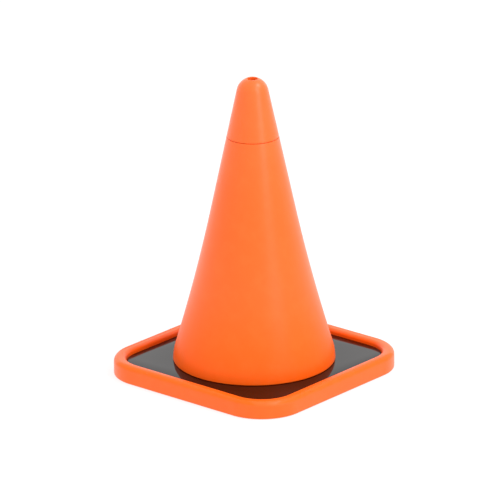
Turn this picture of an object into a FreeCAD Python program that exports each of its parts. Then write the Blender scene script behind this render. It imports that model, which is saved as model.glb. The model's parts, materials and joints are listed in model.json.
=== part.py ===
import FreeCAD, Part
import math
import os

import Sketcher
from FreeCAD import Placement, Rotation, Vector

# A weighted traffic cone, standing on the ground at z = 0 with its axis on Z.
# The hollow cone stands on a ballast slab that lies in a square tray. A ring under the tray and a
# circle of screws clamp the three together, and a domed cap lifts off the neck at the cone's top.
# Sizes are in millimetres and degrees.

# ---------------------------------------------------------------------------------------------
# Driving dimensions
# ---------------------------------------------------------------------------------------------

DIMENSIONS = [
    ("overall_height", 305.0, "ground to the top of the cap"),
    ("dome_radius", 16.0, "outside radius of the cap's dome"),
    ("wall_half_angle", 12.1, "angle between the straight upper wall and the axis"),
    ("flare_height", 170.0, "height below which the wall flares"),
    ("flare_radius", 1800.0, "radius of the flared wall, in section"),
    ("cone_wall", 2.4, "thickness of the cone's wall"),
    ("bow_height", 28.0, "height below which the wall's foot bows inwards"),
    ("bow_radius", 60.0, "radius of that bow, in section"),
    ("foot_round", 1.0, "rounding of the foot's lower edge"),
    ("flange_round", 2.0, "rounding inside, between the wall and the foot's flange"),
    ("collar_wall", 2.2, "thickness of the collar that goes down through slab and tray"),
    ("collar_inset", 5.2, "from the screw circle in to the outside of the collar"),
    ("collar_clearance", 0.3, "gap round the collar"),
    ("cap_height", 59.2, "lower edge of the cap to its top"),
    ("cap_wall", 2.2, "thickness of the cap's wall"),
    ("seam_gap", 0.5, "gap between the cap's edge and the cone's shoulder"),
    ("seam_edge_round", 0.3, "rounding of both edges at that gap"),
    ("neck_length", 20.0, "height of the neck above the shoulder"),
    ("neck_wall", 2.0, "thickness of the neck"),
    ("neck_clearance", 0.3, "gap between neck and cap"),
    ("neck_lead", 0.6, "chamfer round the top of the neck"),
    ("neck_blend", 7.0, "height over which the wall's inside steps in to the neck"),
    ("apex_hole_radius", 5.0, "hole in the top of the cap"),
    ("apex_hole_length", 5.0, "length of the tube round that hole"),
    ("apex_tube_wall", 2.5, "thickness of that tube"),
    ("apex_edge_round", 0.8, "rounding of the hole's upper rim"),
    ("tray_side", 225.0, "length of the tray's side"),
    ("tray_corner_radius", 45.0, "radius of the tray's corners, in plan"),
    ("rim_width", 12.5, "width of the tray's raised rim"),
    ("rim_outer_round", 5.0, "rounding of the rim's upper outer edge"),
    ("rim_inner_round", 4.0, "rounding of the rim's upper inner edge"),
    ("rim_lower_round", 1.0, "rounding of the rim's lower outer edge"),
    ("tray_wall", 2.4, "thickness of the rim's walls"),
    ("tray_floor", 2.0, "thickness of the tray's floor"),
    ("ground_gap", 0.5, "ground to the underside of the rim"),
    ("underside_depth", 3.5, "underside of the rim up to the underside of the floor"),
    ("panel_recess", 5.2, "top of the rim down to the top of the slab"),
    ("rib_thickness", 1.6, "thickness of the ribs and webs under the tray"),
    ("rib_depth", 1.8, "depth of the ribs under the tray's floor"),
    ("rib_spacing", 45.0, "distance between the ribs of one side"),
    ("rib_ring_gap", 1.5, "gap between the ribs and the retaining ring"),
    ("web_recess", 1.5, "underside of the rim up to the webs in it"),
    ("slab_thickness", 7.0, "thickness of the ballast slab"),
    ("slab_clearance", 0.6, "gap between the slab's edge and the rim"),
    ("slab_edge_round", 0.8, "rounding of the slab's upper edge"),
    ("ring_thickness", 2.0, "thickness of the retaining ring"),
    ("ring_margin", 6.5, "from the screw circle out to the ring's edge"),
    ("screw_inset", 7.8, "from the foot's sharp corner in to the screw circle"),
    ("screw_length", 18.0, "overall length of a screw"),
    ("screw_radius", 1.45, "outside radius of a screw's thread"),
    ("screw_head_radius", 2.75, "radius of a screw's countersunk head"),
    ("screw_tip_length", 1.8, "length of a screw's pointed end"),
    ("screw_tip_radius", 0.3, "radius of the blunt point"),
    ("screw_clearance", 0.35, "gap round a screw in ring, tray and slab"),
    ("countersink_clearance", 0.05, "gap beside a screw's head, across the countersink"),
    ("thread_bite", 0.1, "how far a screw's thread cuts into its boss"),
    ("recess_width", 0.9, "width of one arm of the cross recess"),
    ("recess_span", 3.2, "length of the cross recess"),
    ("recess_depth", 0.9, "depth of the cross recess"),
    ("boss_radius", 3.2, "outside radius of a screw boss"),
    ("boss_height", 6.0, "height of a screw boss above the foot's flange"),
    ("foot_inset", 11.0, "from the rim's inner corner in to a rubber foot's centre"),
    ("foot_radius", 8.0, "radius of a rubber foot"),
    ("foot_edge_round", 0.6, "rounding of a rubber foot's lower edge"),
    ("plug_radius", 2.9, "radius of the plug that passes through the tray's floor"),
    ("plug_clearance", 0.1, "gap round the plug"),
    ("barb_radius", 3.9, "radius of the barb above the tray's floor"),
    ("barb_height", 1.6, "height of the barb"),
    ("barb_tip_radius", 2.4, "radius of the barb's upper end"),
    ("barb_clearance", 0.5, "gap round and over the barb in the slab"),
    ("socket_wall", 1.5, "thickness of the raised ring round a rubber foot"),
    ("socket_clearance", 0.3, "gap between that ring and the foot"),
]

SCREW_COUNT = 8
SIDES = 4

# ---------------------------------------------------------------------------------------------
# Heights, lengths and radii that follow from the driving dimensions
# ---------------------------------------------------------------------------------------------

RIM_BOTTOM = "dims.ground_gap"
FLOOR_BOTTOM = f"({RIM_BOTTOM} + dims.underside_depth)"
FLOOR_TOP = f"({FLOOR_BOTTOM} + dims.tray_floor)"
PANEL_TOP = f"({FLOOR_TOP} + dims.slab_thickness)"
RIM_TOP = f"({PANEL_TOP} + dims.panel_recess)"
RIB_BOTTOM = f"({FLOOR_BOTTOM} - dims.rib_depth)"
WEB_BOTTOM = f"({RIM_BOTTOM} + dims.web_recess)"
CHANNEL_TOP = f"({RIM_TOP} - dims.tray_wall)"
RING_BOTTOM = f"({FLOOR_BOTTOM} - dims.ring_thickness)"
FLANGE_TOP = f"({PANEL_TOP} + dims.cone_wall)"
CAP_BOTTOM = "(dims.overall_height - dims.cap_height)"
SHOULDER = f"({CAP_BOTTOM} - dims.seam_gap)"
NECK_TOP = f"({SHOULDER} + dims.neck_length)"

# The dome is a sphere on the axis. The rounded rim of its hole is the highest point of the cone.
ROUND_SPHERE = "(dims.dome_radius - dims.apex_edge_round)"
ROUND_CIRCLE = "(dims.apex_hole_radius + dims.apex_edge_round)"
DOME_CENTRE = (f"(dims.overall_height - dims.apex_edge_round"
               f" - sqrt({ROUND_SPHERE}^2 - {ROUND_CIRCLE}^2))")


def dome_height(radius, depth="0"):
    """Height of the dome at a radius from the axis, at a depth under its outer surface."""
    return f"({DOME_CENTRE} + sqrt((dims.dome_radius - {depth})^2 - ({radius})^2))"


# The straight wall leaves the dome on a tangent.
TANGENT_HEIGHT = f"({DOME_CENTRE} + dims.dome_radius * sin(dims.wall_half_angle))"
TANGENT_RADIUS = "(dims.dome_radius * cos(dims.wall_half_angle))"
INNER_TANGENT_HEIGHT = f"({TANGENT_HEIGHT} - dims.cap_wall * sin(dims.wall_half_angle))"
INNER_TANGENT_RADIUS = f"({TANGENT_RADIUS} - dims.cap_wall * cos(dims.wall_half_angle))"


def straight_wall(height, depth="0"):
    """Radius of the straight upper wall at a height, at a depth under its outer surface."""
    slant = f"({TANGENT_HEIGHT} - ({height})) * tan(dims.wall_half_angle)"
    return f"({TANGENT_RADIUS} + {slant} - ({depth}) / cos(dims.wall_half_angle))"


NECK_OUTSIDE = "dims.cap_wall + dims.neck_clearance"
NECK_INSIDE = f"{NECK_OUTSIDE} + dims.neck_wall"
NECK_FOOT = f"({SHOULDER} - dims.neck_wall)"
BLEND_BOTTOM = f"({SHOULDER} - dims.neck_blend)"

# The flare is an arc that carries on from the straight wall, with its centre outside the cone.
FLARE_INNER_HEIGHT = "(dims.flare_height - dims.cone_wall * sin(dims.wall_half_angle))"
FLARE_CENTRE_HEIGHT = "(dims.flare_height + dims.flare_radius * sin(dims.wall_half_angle))"
FLARE_CENTRE_RADIUS = (f"({straight_wall('dims.flare_height')}"
                       f" + dims.flare_radius * cos(dims.wall_half_angle))")


def flared_wall(height, depth="0"):
    """Radius of the flared lower wall at a height, at a depth under its outer surface."""
    drop = f"({FLARE_CENTRE_HEIGHT} - {height})"
    return f"({FLARE_CENTRE_RADIUS} - sqrt((dims.flare_radius + {depth})^2 - {drop}^2))"


# Below the bow height the wall is an arc that bulges out and turns towards the vertical.
BOW_SINE = f"(({FLARE_CENTRE_HEIGHT} - dims.bow_height) / dims.flare_radius)"
BOW_INNER_HEIGHT = f"(dims.bow_height - dims.cone_wall * {BOW_SINE})"
BOW_CENTRE_HEIGHT = f"(dims.bow_height - dims.bow_radius * {BOW_SINE})"
BOW_CENTRE_RADIUS = (f"({flared_wall('dims.bow_height')}"
                     f" - dims.bow_radius * sqrt(1 - {BOW_SINE}^2))")


def bowed_wall(height, depth="0"):
    """Radius of the bowed foot of the wall at a height, at a depth under its outer surface."""
    rise = f"({height} - {BOW_CENTRE_HEIGHT})"
    return f"({BOW_CENTRE_RADIUS} + sqrt((dims.bow_radius - {depth})^2 - {rise}^2))"


FOOT_CORNER = bowed_wall(PANEL_TOP)
FOOT_INNER_CORNER = bowed_wall(FLANGE_TOP, "dims.cone_wall")
SCREW_CIRCLE = f"({FOOT_CORNER} - dims.screw_inset)"
COLLAR_OUTER = f"({SCREW_CIRCLE} - dims.collar_inset)"
COLLAR_INNER = f"({COLLAR_OUTER} - dims.collar_wall)"
COLLAR_HOLE = f"({COLLAR_OUTER} + dims.collar_clearance)"
RING_OUTER = f"({SCREW_CIRCLE} + dims.ring_margin)"
SCREW_HOLE = "(dims.screw_radius + dims.screw_clearance)"

# The tray's outlines are squares with round corners, all on the same four corner centres.
HALF_SIDE = "(dims.tray_side / 2)"
PANEL_HALF = f"({HALF_SIDE} - dims.rim_width)"
PANEL_CORNER = "(dims.tray_corner_radius - dims.rim_width)"
CORNER_CENTRE_DIAGONAL = f"(({HALF_SIDE} - dims.tray_corner_radius) * sqrt(2))"
CHANNEL_INSET = "dims.tray_wall / 2"
FOOT_DIAGONAL = f"({CORNER_CENTRE_DIAGONAL} + {PANEL_CORNER} - dims.foot_inset)"
SOCKET_INNER = "(dims.foot_radius + dims.socket_clearance)"

# ---------------------------------------------------------------------------------------------
# The document and its sheet
# ---------------------------------------------------------------------------------------------

doc = FreeCAD.newDocument("traffic_cone")
dims = doc.addObject("Spreadsheet::Sheet", "dims")
for row, (alias, size, meaning) in enumerate(DIMENSIONS, start=1):
    dims.set(f"A{row}", alias)
    dims.set(f"B{row}", str(size))
    dims.set(f"C{row}", meaning)
    dims.setAlias(f"B{row}", alias)
doc.recompute()


def size_of(expression):
    """The present value of an expression on the sheet."""
    return float(dims.evalExpression(expression))


# ---------------------------------------------------------------------------------------------
# Helpers for sketches
# ---------------------------------------------------------------------------------------------

CLOSE = 1e-4
ORIGIN_POINT = (-1, 1)
HORIZONTAL_AXIS = -1
VERTICAL_AXIS = -2
START, END, CENTRE = 1, 2, 3


def origin_feature(body, role):
    return [feature for feature in body.Origin.OriginFeatures if feature.Role == role][0]


def new_sketch(body, name, plane="XY_Plane", height="0", turn=0.0):
    """A sketch on one of the body's own planes, raised to a height and turned in its plane."""
    sketch = body.newObject("Sketcher::SketchObject", name)
    sketch.AttachmentSupport = [(origin_feature(body, plane), "")]
    sketch.MapMode = "FlatFace"
    sketch.AttachmentOffset = Placement(Vector(0, 0, 0), Rotation(Vector(0, 0, 1), turn))
    sketch.setExpression("AttachmentOffset.Base.z", height)
    return sketch


def bind(sketch, kind, elements, expression):
    """Adds a sketch constraint whose size is an expression on the sheet."""
    index = sketch.addConstraint(Sketcher.Constraint(kind, *elements, size_of(expression)))
    sketch.setExpression(f"Constraints[{index}]", expression)


def pin_point(sketch, element, x, y):
    """Holds a point of a sketch element at the place that two expressions give."""
    if x == "0":
        sketch.addConstraint(Sketcher.Constraint("PointOnObject", *element, VERTICAL_AXIS))
    else:
        bind(sketch, "DistanceX", (*ORIGIN_POINT, *element), x)
    if y == "0":
        sketch.addConstraint(Sketcher.Constraint("PointOnObject", *element, HORIZONTAL_AXIS))
    else:
        bind(sketch, "DistanceY", (*ORIGIN_POINT, *element), y)


def short_arc(start, end, radius, bulge):
    """An arc from start to end. It bulges left of the way there for bulge 1, and right for -1."""
    half = (end - start) * 0.5
    rise = radius - math.sqrt(radius ** 2 - half.Length ** 2)
    left = Vector(-half.y, half.x, 0).normalize()
    return Part.Arc(start, start + half + left * rise * bulge, end)


def end_at(sketch, edge, point):
    """Which end of a sketch edge is at a point: an arc may have swapped its ends."""
    return START if (sketch.getPoint(edge, START) - point).Length < CLOSE else END


def draw_outline(sketch, corners):
    """A closed outline. A corner is (x, y), or (x, y, radius, bulge) where an arc leaves it."""
    places = [Vector(size_of(corner[0]), size_of(corner[1]), 0) for corner in corners]
    edges = []
    for index, corner in enumerate(corners):
        start = places[index]
        end = places[(index + 1) % len(places)]
        if len(corner) == 4:
            edges.append(sketch.addGeometry(short_arc(start, end, size_of(corner[2]), corner[3])))
        else:
            edges.append(sketch.addGeometry(Part.LineSegment(start, end)))
    for index, corner in enumerate(corners):
        before = edges[index - 1]
        here = (edges[index], end_at(sketch, edges[index], places[index]))
        there = (before, end_at(sketch, before, places[index]))
        sketch.addConstraint(Sketcher.Constraint("Coincident", *here, *there))
        pin_point(sketch, here, corner[0], corner[1])
        if len(corner) == 4:
            bind(sketch, "Radius", (edges[index],), corner[2])


def draw_rounded_square(sketch, half, corner_radius):
    """A square on the origin with round corners."""
    flat = f"({half} - {corner_radius})"
    corners = []
    for x, y in ((1, 1), (-1, 1), (-1, -1), (1, -1)):
        along_y = (f"{x} * {half}", f"{y} * {flat}")
        along_x = (f"{x} * {flat}", f"{y} * {half}")
        first, second = (along_y, along_x) if x == y else (along_x, along_y)
        corners.append((*first, corner_radius, -1))
        corners.append(second)
    draw_outline(sketch, corners)


def draw_rectangle(sketch, low_x, high_x, low_y, high_y):
    draw_outline(sketch, [(low_x, low_y), (high_x, low_y), (high_x, high_y), (low_x, high_y)])


def draw_cross(sketch, arm_width, span):
    """A cross of two equal arms on the origin."""
    near = f"{arm_width} / 2"
    far = f"{span} / 2"
    quarter = [(far, near), (near, near), (near, far)]
    corners = []
    for _ in range(SIDES):
        corners.extend(quarter)
        quarter = [(f"-1 * ({y})", x) for x, y in quarter]
    draw_outline(sketch, corners)


def draw_circle(sketch, radius, x="0", y="0"):
    centre = Vector(size_of(x), size_of(y), 0)
    circle = sketch.addGeometry(Part.Circle(centre, Vector(0, 0, 1), size_of(radius)))
    pin_point(sketch, (circle, CENTRE), x, y)
    bind(sketch, "Radius", (circle,), radius)


# ---------------------------------------------------------------------------------------------
# Helpers for features
# ---------------------------------------------------------------------------------------------


def new_body(name):
    body = doc.addObject("PartDesign::Body", name)
    body.Label = name
    return body


def add_feature(body, kind, name):
    feature = body.newObject(f"PartDesign::{kind}", name)
    body.Tip = feature
    return feature


def pad(body, sketch, name, length):
    """Adds material upwards from the sketch."""
    feature = add_feature(body, "Pad", name)
    feature.Profile = sketch
    feature.setExpression("Length", length)
    return feature


def pocket(body, sketch, name, depth):
    """Cuts material upwards from the sketch."""
    feature = add_feature(body, "Pocket", name)
    feature.Profile = sketch
    feature.Reversed = True
    feature.setExpression("Length", depth)
    return feature


def revolve(body, sketch, name):
    """Turns a section on the XZ plane right round the body's Z axis."""
    feature = add_feature(body, "Revolution", name)
    feature.Profile = sketch
    feature.ReferenceAxis = (origin_feature(body, "Z_Axis"), [""])
    feature.Angle = 360
    return feature


def repeat_round(body, features, name, count):
    """Repeats features round the body's Z axis."""
    pattern = add_feature(body, "PolarPattern", name)
    pattern.Originals = features
    pattern.Axis = (origin_feature(body, "Z_Axis"), [""])
    pattern.Angle = 360
    pattern.Occurrences = count
    return pattern


def dress(body, kind, name, size_name, size, wanted):
    """A fillet or chamfer on the edges of the body that a test picks out."""
    doc.recompute()
    base = body.Tip
    names = [f"Edge{i}" for i, edge in enumerate(base.Shape.Edges, start=1) if wanted(edge)]
    if not names:
        raise RuntimeError(f"{name} finds no edge")
    feature = add_feature(body, kind, name)
    feature.Base = (base, names)
    feature.setExpression(size_name, size)
    return feature


def fillet(body, name, radius, wanted):
    return dress(body, "Fillet", name, "Radius", radius, wanted)


def circle_at(radius, height):
    """A test for the round edge of a turned body at a radius and a height."""
    radius = size_of(radius)
    height = size_of(height)

    def wanted(edge):
        curve = edge.Curve
        return (isinstance(curve, Part.Circle) and abs(curve.Radius - radius) < CLOSE
                and abs(curve.Center.z - height) < CLOSE)
    return wanted


def outline_at(half, height):
    """A test for the edges of a rounded square at a height."""
    half = size_of(half)
    height = size_of(height)

    def wanted(edge):
        box = edge.BoundBox
        reach = max(abs(box.XMin), abs(box.XMax), abs(box.YMin), abs(box.YMax))
        return (abs(box.ZMin - height) < CLOSE and abs(box.ZMax - height) < CLOSE
                and abs(reach - half) < CLOSE)
    return wanted


# ---------------------------------------------------------------------------------------------
# The pieces
# ---------------------------------------------------------------------------------------------


def make_cone_body():
    """The hollow cone: collar, foot with its flange and screw bosses, wall and neck."""
    body = new_body("cone_body")
    section = new_sketch(body, "cone_section", "XZ_Plane")
    draw_outline(section, [
        (COLLAR_INNER, RING_BOTTOM),
        (COLLAR_OUTER, RING_BOTTOM),
        (COLLAR_OUTER, PANEL_TOP),
        (FOOT_CORNER, PANEL_TOP, "dims.bow_radius", -1),
        (flared_wall("dims.bow_height"), "dims.bow_height", "dims.flare_radius", 1),
        (straight_wall("dims.flare_height"), "dims.flare_height"),
        (straight_wall(SHOULDER), SHOULDER),
        (straight_wall(SHOULDER, NECK_OUTSIDE), SHOULDER),
        (straight_wall(NECK_TOP, NECK_OUTSIDE), NECK_TOP),
        (straight_wall(NECK_TOP, NECK_INSIDE), NECK_TOP),
        (straight_wall(NECK_FOOT, NECK_INSIDE), NECK_FOOT),
        (straight_wall(BLEND_BOTTOM, "dims.cone_wall"), BLEND_BOTTOM),
        (straight_wall(FLARE_INNER_HEIGHT, "dims.cone_wall"), FLARE_INNER_HEIGHT,
         "(dims.flare_radius + dims.cone_wall)", -1),
        (flared_wall(BOW_INNER_HEIGHT, "dims.cone_wall"), BOW_INNER_HEIGHT,
         "(dims.bow_radius - dims.cone_wall)", 1),
        (FOOT_INNER_CORNER, FLANGE_TOP),
        (COLLAR_INNER, FLANGE_TOP),
    ])
    revolve(body, section, "cone_wall_turned")
    fillet(body, "foot_edge", "dims.foot_round", circle_at(FOOT_CORNER, PANEL_TOP))
    fillet(body, "flange_corner", "dims.flange_round", circle_at(FOOT_INNER_CORNER, FLANGE_TOP))
    fillet(body, "shoulder_edge", "dims.seam_edge_round",
           circle_at(straight_wall(SHOULDER), SHOULDER))
    dress(body, "Chamfer", "neck_lead_in", "Size", "dims.neck_lead",
          circle_at(straight_wall(NECK_TOP, NECK_OUTSIDE), NECK_TOP))
    boss_sketch = new_sketch(body, "boss_outline", height=FLANGE_TOP)
    draw_circle(boss_sketch, "dims.boss_radius", SCREW_CIRCLE)
    boss = pad(body, boss_sketch, "boss", "dims.boss_height")
    pilot_sketch = new_sketch(body, "pilot_outline", height=PANEL_TOP)
    draw_circle(pilot_sketch, "(dims.screw_radius - dims.thread_bite)", SCREW_CIRCLE)
    pilot = pocket(body, pilot_sketch, "pilot_hole", "dims.cone_wall + dims.boss_height")
    repeat_round(body, [boss, pilot], "bosses", SCREW_COUNT)
    return body


def make_top_cap():
    """The domed cap, with a short tube inside round the hole in its top."""
    body = new_body("top_cap")
    tube_outer = "(dims.apex_hole_radius + dims.apex_tube_wall)"
    tube_bottom = "(dims.overall_height - dims.apex_hole_length)"
    rim_height = dome_height("dims.apex_hole_radius")
    section = new_sketch(body, "cap_section", "XZ_Plane")
    draw_outline(section, [
        (straight_wall(CAP_BOTTOM), CAP_BOTTOM),
        (TANGENT_RADIUS, TANGENT_HEIGHT, "dims.dome_radius", -1),
        ("dims.apex_hole_radius", rim_height),
        ("dims.apex_hole_radius", tube_bottom),
        (tube_outer, tube_bottom),
        (tube_outer, dome_height(tube_outer, "dims.cap_wall"),
         "(dims.dome_radius - dims.cap_wall)", 1),
        (INNER_TANGENT_RADIUS, INNER_TANGENT_HEIGHT),
        (straight_wall(CAP_BOTTOM, "dims.cap_wall"), CAP_BOTTOM),
    ])
    revolve(body, section, "cap_turned")
    fillet(body, "hole_rim", "dims.apex_edge_round", circle_at("dims.apex_hole_radius", rim_height))
    fillet(body, "cap_edge", "dims.seam_edge_round",
           circle_at(straight_wall(CAP_BOTTOM), CAP_BOTTOM))
    return body


def make_base_tray():
    """The square tray: a hollow raised rim round a floor, ribbed underneath."""
    body = new_body("base_tray")
    block_sketch = new_sketch(body, "tray_outline", height=RIM_BOTTOM)
    draw_rounded_square(block_sketch, HALF_SIDE, "dims.tray_corner_radius")
    pad(body, block_sketch, "tray_block", f"{RIM_TOP} - {RIM_BOTTOM}")
    recess_sketch = new_sketch(body, "recess_outline", height=FLOOR_TOP)
    draw_rounded_square(recess_sketch, PANEL_HALF, PANEL_CORNER)
    pocket(body, recess_sketch, "slab_recess", f"{RIM_TOP} - {FLOOR_TOP}")
    fillet(body, "rim_top_outside", "dims.rim_outer_round", outline_at(HALF_SIDE, RIM_TOP))
    fillet(body, "rim_top_inside", "dims.rim_inner_round", outline_at(PANEL_HALF, RIM_TOP))
    fillet(body, "rim_lower_edge", "dims.rim_lower_round", outline_at(HALF_SIDE, RIM_BOTTOM))
    underside_sketch = new_sketch(body, "underside_outline", height=RIM_BOTTOM)
    draw_rounded_square(underside_sketch, PANEL_HALF, PANEL_CORNER)
    pocket(body, underside_sketch, "underside", "dims.underside_depth")
    channel_sketch = new_sketch(body, "channel_outline", height=RIM_BOTTOM)
    draw_rounded_square(channel_sketch, f"({HALF_SIDE} - dims.tray_wall)",
                        "(dims.tray_corner_radius - dims.tray_wall)")
    draw_rounded_square(channel_sketch, f"({PANEL_HALF} + dims.tray_wall)",
                        f"({PANEL_CORNER} + dims.tray_wall)")
    pocket(body, channel_sketch, "rim_channel", f"{CHANNEL_TOP} - {RIM_BOTTOM}")
    add_tray_holes(body)
    add_tray_ribs(body)
    return body


def add_tray_holes(body):
    """The holes in the tray's floor for collar, screws and rubber feet."""
    collar_sketch = new_sketch(body, "collar_hole_outline", height=FLOOR_BOTTOM)
    draw_circle(collar_sketch, COLLAR_HOLE)
    pocket(body, collar_sketch, "collar_hole", "dims.tray_floor")
    screw_sketch = new_sketch(body, "screw_hole_outline", height=FLOOR_BOTTOM)
    draw_circle(screw_sketch, SCREW_HOLE, SCREW_CIRCLE)
    screw_hole = pocket(body, screw_sketch, "screw_hole", "dims.tray_floor")
    repeat_round(body, [screw_hole], "screw_holes", SCREW_COUNT)
    plug_sketch = new_sketch(body, "plug_hole_outline", height=FLOOR_BOTTOM, turn=45)
    draw_circle(plug_sketch, "(dims.plug_radius + dims.plug_clearance)", FOOT_DIAGONAL)
    plug_hole = pocket(body, plug_sketch, "plug_hole", "dims.tray_floor")
    socket_sketch = new_sketch(body, "socket_outline", height=RIB_BOTTOM, turn=45)
    draw_circle(socket_sketch, SOCKET_INNER, FOOT_DIAGONAL)
    draw_circle(socket_sketch, f"{SOCKET_INNER} + dims.socket_wall", FOOT_DIAGONAL)
    socket = pad(body, socket_sketch, "foot_socket", "dims.rib_depth")
    repeat_round(body, [plug_hole, socket], "foot_seats", SIDES)


def add_tray_ribs(body):
    """Ribs under the floor, and webs across the hollow rim in line with them and at the corners."""
    floor_sketch = new_sketch(body, "rib_outline", height=RIB_BOTTOM)
    web_sketch = new_sketch(body, "web_outline", height=WEB_BOTTOM)
    for line in (-1, 0, 1):
        middle = f"{line} * dims.rib_spacing"
        low = f"{middle} - dims.rib_thickness / 2"
        high = f"{middle} + dims.rib_thickness / 2"
        ring_edge = f"sqrt(({RING_OUTER} + dims.rib_ring_gap)^2 - ({middle})^2)"
        draw_rectangle(floor_sketch, ring_edge, f"{PANEL_HALF} + {CHANNEL_INSET}", low, high)
        draw_rectangle(web_sketch, f"{PANEL_HALF} + {CHANNEL_INSET}",
                       f"{HALF_SIDE} - {CHANNEL_INSET}", low, high)
    ribs = pad(body, floor_sketch, "floor_ribs", "dims.rib_depth")
    webs = pad(body, web_sketch, "rim_webs", f"{CHANNEL_TOP} - {WEB_BOTTOM}")
    corner_sketch = new_sketch(body, "corner_web_outline", height=WEB_BOTTOM, turn=45)
    draw_rectangle(corner_sketch,
                   f"{CORNER_CENTRE_DIAGONAL} + {PANEL_CORNER} + {CHANNEL_INSET}",
                   f"{CORNER_CENTRE_DIAGONAL} + dims.tray_corner_radius - {CHANNEL_INSET}",
                   "-1 * dims.rib_thickness / 2", "dims.rib_thickness / 2")
    corner_web = pad(body, corner_sketch, "corner_web", f"{CHANNEL_TOP} - {WEB_BOTTOM}")
    repeat_round(body, [ribs, webs, corner_web], "ribs_all_round", SIDES)


def make_ballast_slab():
    """The heavy slab that fills the tray, with a large hole for the cone's collar."""
    body = new_body("ballast_slab")
    outline = new_sketch(body, "slab_outline", height=FLOOR_TOP)
    draw_rounded_square(outline, f"({PANEL_HALF} - dims.slab_clearance)",
                        f"({PANEL_CORNER} - dims.slab_clearance)")
    draw_circle(outline, COLLAR_HOLE)
    pad(body, outline, "slab", "dims.slab_thickness")
    fillet(body, "slab_edge", "dims.slab_edge_round",
           outline_at(f"({PANEL_HALF} - dims.slab_clearance)", PANEL_TOP))
    screw_sketch = new_sketch(body, "screw_hole_outline", height=FLOOR_TOP)
    draw_circle(screw_sketch, SCREW_HOLE, SCREW_CIRCLE)
    screw_hole = pocket(body, screw_sketch, "screw_hole", "dims.slab_thickness")
    repeat_round(body, [screw_hole], "screw_holes", SCREW_COUNT)
    barb_sketch = new_sketch(body, "barb_recess_outline", height=FLOOR_TOP, turn=45)
    draw_circle(barb_sketch, "(dims.barb_radius + dims.barb_clearance)", FOOT_DIAGONAL)
    barb_recess = pocket(body, barb_sketch, "barb_recess", "dims.barb_height + dims.barb_clearance")
    repeat_round(body, [barb_recess], "barb_recesses", SIDES)
    return body


def make_retaining_ring():
    """The flat ring under the tray, with countersunk holes for the screws."""
    body = new_body("retaining_ring")
    outline = new_sketch(body, "ring_outline", height=RING_BOTTOM)
    draw_circle(outline, COLLAR_HOLE)
    draw_circle(outline, RING_OUTER)
    pad(body, outline, "ring", "dims.ring_thickness")
    hole_sketch = new_sketch(body, "countersunk_hole_outline", height=RING_BOTTOM)
    draw_circle(hole_sketch, SCREW_HOLE, SCREW_CIRCLE)
    doc.recompute()
    hole = add_feature(body, "Hole", "countersunk_hole")
    hole.Profile = hole_sketch
    hole.Reversed = True
    hole.DepthType = "Dimension"
    hole.HoleCutType = "Countersink"
    hole.HoleCutCustomValues = True
    hole.setExpression("Depth", "dims.ring_thickness")
    hole.setExpression("Diameter", f"2 * {SCREW_HOLE}")
    hole.setExpression("HoleCutDiameter",
                       "2 * (dims.screw_head_radius + dims.countersink_clearance * sqrt(2))")
    hole.HoleCutCountersinkAngle = 90
    hole.DrillPoint = "Flat"
    repeat_round(body, [hole], "countersunk_holes", SCREW_COUNT)
    return body


def make_screw(number):
    """A self-tapping countersunk screw, its head level with the underside of the ring."""
    body = new_body(f"screw_{number}")
    tip = f"({RING_BOTTOM} + dims.screw_length)"
    neck = f"{RING_BOTTOM} + dims.screw_head_radius - dims.screw_radius"
    section = new_sketch(body, f"screw_{number}_section", "XZ_Plane")
    draw_outline(section, [
        ("0", RING_BOTTOM),
        ("dims.screw_head_radius", RING_BOTTOM),
        ("dims.screw_radius", neck),
        ("dims.screw_radius", f"{tip} - dims.screw_tip_length"),
        ("dims.screw_tip_radius", tip),
        ("0", tip),
    ])
    revolve(body, section, f"screw_{number}_turned")
    recess = new_sketch(body, f"screw_{number}_recess_outline", height=RING_BOTTOM)
    draw_cross(recess, "dims.recess_width", "dims.recess_span")
    pocket(body, recess, f"screw_{number}_recess", "dims.recess_depth")
    place_round(body, SCREW_CIRCLE, 360 / SCREW_COUNT * (number - 1))
    return body


def make_rubber_foot(number):
    """A rubber foot, held by a barbed plug through the tray's floor."""
    body = new_body(f"foot_{number}")
    barb_top = f"({FLOOR_TOP} + dims.barb_height)"
    section = new_sketch(body, f"foot_{number}_section", "XZ_Plane")
    draw_outline(section, [
        ("0", "0"),
        ("dims.foot_radius", "0"),
        ("dims.foot_radius", FLOOR_BOTTOM),
        ("dims.plug_radius", FLOOR_BOTTOM),
        ("dims.plug_radius", FLOOR_TOP),
        ("dims.barb_radius", FLOOR_TOP),
        ("dims.barb_tip_radius", barb_top),
        ("0", barb_top),
    ])
    revolve(body, section, f"foot_{number}_turned")
    fillet(body, f"foot_{number}_edge", "dims.foot_edge_round", circle_at("dims.foot_radius", "0"))
    place_round(body, FOOT_DIAGONAL, 45 + 360 / SIDES * (number - 1))
    return body


def place_round(body, radius, angle):
    """Moves a whole body to a radius from the cone's axis, at an angle, and turns it to match."""
    body.Placement = Placement(Vector(0, 0, 0), Rotation(Vector(0, 0, 1), angle))
    body.setExpression("Placement.Base.x", f"{radius} * cos({angle})")
    body.setExpression("Placement.Base.y", f"{radius} * sin({angle})")


# ---------------------------------------------------------------------------------------------
# Checks and export
# ---------------------------------------------------------------------------------------------


def check_features(bodies):
    """Stops at a failed object, a cut that removes nothing or a pad that adds nothing."""
    for item in doc.Objects:
        if "Invalid" in item.State or "Error" in item.State:
            raise RuntimeError(f"{item.Label} failed: {item.State}")
    for body in bodies:
        solids = [item for item in body.Group if item.isDerivedFrom("PartDesign::Feature")]
        for before, after in zip(solids, solids[1:]):
            change = after.Shape.Volume - before.Shape.Volume
            cuts = after.TypeId in ("PartDesign::Pocket", "PartDesign::Hole")
            if abs(change) < CLOSE or (cuts and change > 0):
                raise RuntimeError(f"{after.Label} changes its body by {change:.4f}")


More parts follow.
